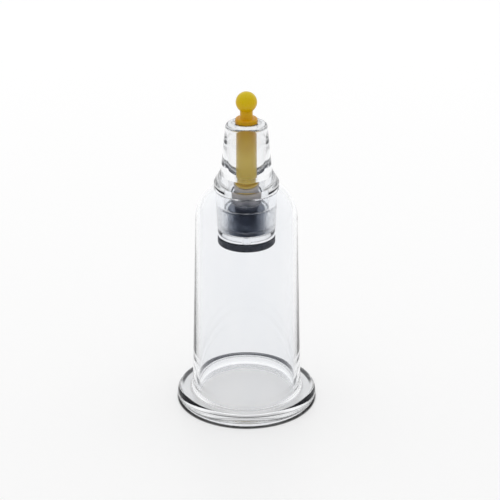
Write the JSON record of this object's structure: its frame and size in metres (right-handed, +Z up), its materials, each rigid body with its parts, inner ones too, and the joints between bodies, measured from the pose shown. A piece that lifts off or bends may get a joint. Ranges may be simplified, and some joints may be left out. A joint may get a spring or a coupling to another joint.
{
  "type": "vacuum cupping cup",
  "caption": "Clear rigid cup with a rounded rim, domed top and tapered pump nozzle, and a pull-up pin valve that lets the vacuum out.",
  "frame": {"origin": "centre of the mouth, on the plane the rim stands on", "axes": "+Z up the cup's axis towards the nozzle and the pin"},
  "size_m": [0.041, 0.041, 0.0955],
  "materials": {
    "clear_plastic": "clear, polished moulding",
    "black_rubber": "matt moulded rubber",
    "yellow_plastic": "satin moulded plastic",
    "grey_plastic": "smoky, translucent moulding"
  },
  "bodies": {
    "cup": {"cup_body": "clear_plastic", "valve_insert": "clear_plastic", "retainer_disc": "clear_plastic", "rubber_disc": "black_rubber"},
    "lift_valve": {"valve_stem": "yellow_plastic", "plug_holder": "grey_plastic", "valve_plug": "black_rubber"}
  },
  "joints": [
    {"name": "valve_lift", "type": "slide", "parent": "cup", "child": "lift_valve", "axis": [0, 0, 1], "range_m": [0, 0.0012]}
  ]
}
